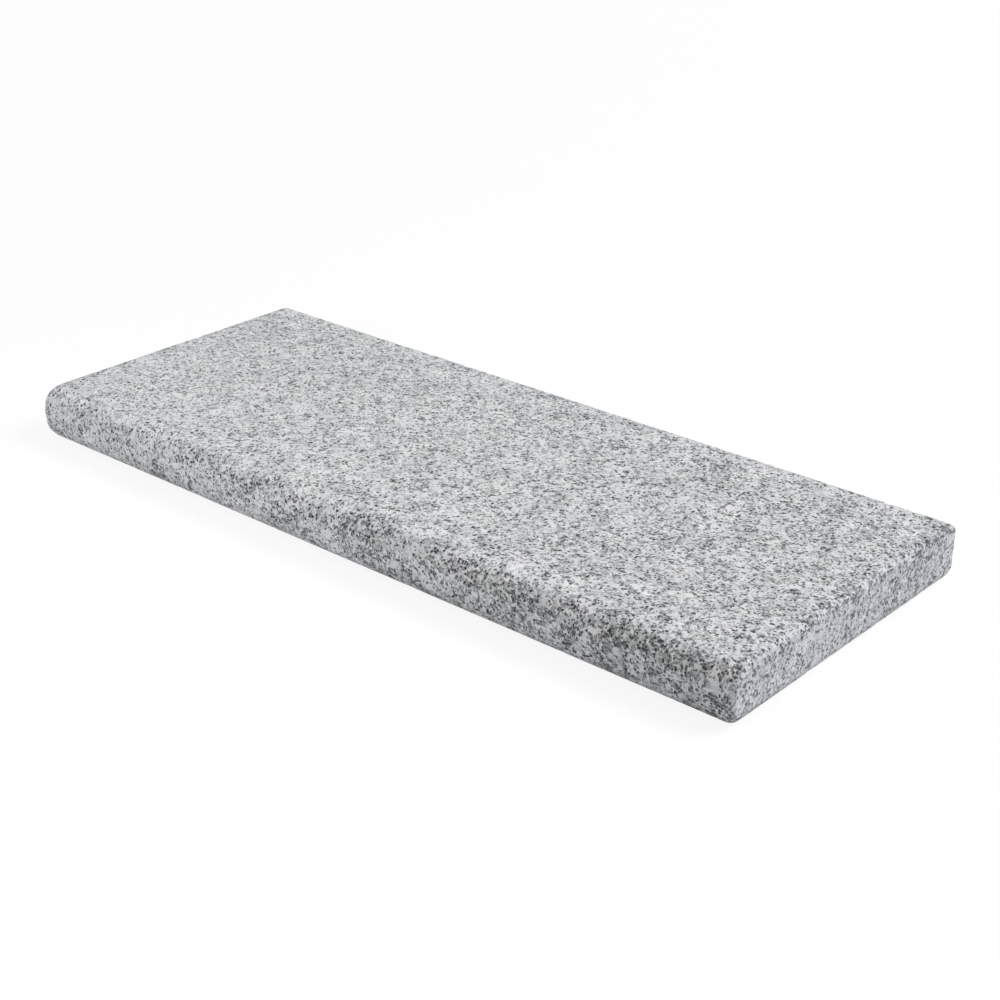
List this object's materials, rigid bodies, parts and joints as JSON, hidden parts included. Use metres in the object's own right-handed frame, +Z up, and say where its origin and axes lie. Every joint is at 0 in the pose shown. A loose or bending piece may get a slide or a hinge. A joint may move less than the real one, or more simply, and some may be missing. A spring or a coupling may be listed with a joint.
{
  "type": "granite pool coping stone",
  "caption": "Flat granite coping slab with one long rounded nosing, an eased back edge and eased ends, laid along the rim of a pool.",
  "frame": {"origin": "middle of the underside", "axes": "+Z up out of the walking surface, +X along the stone's length, +Y away from the water towards the paving, so the nosing faces -Y"},
  "size_m": [0.762, 0.3048, 0.0508],
  "materials": {
    "granite": "flamed"
  },
  "bodies": {
    "root": {"coping_stone": "granite"}
  },
  "joints": []
}
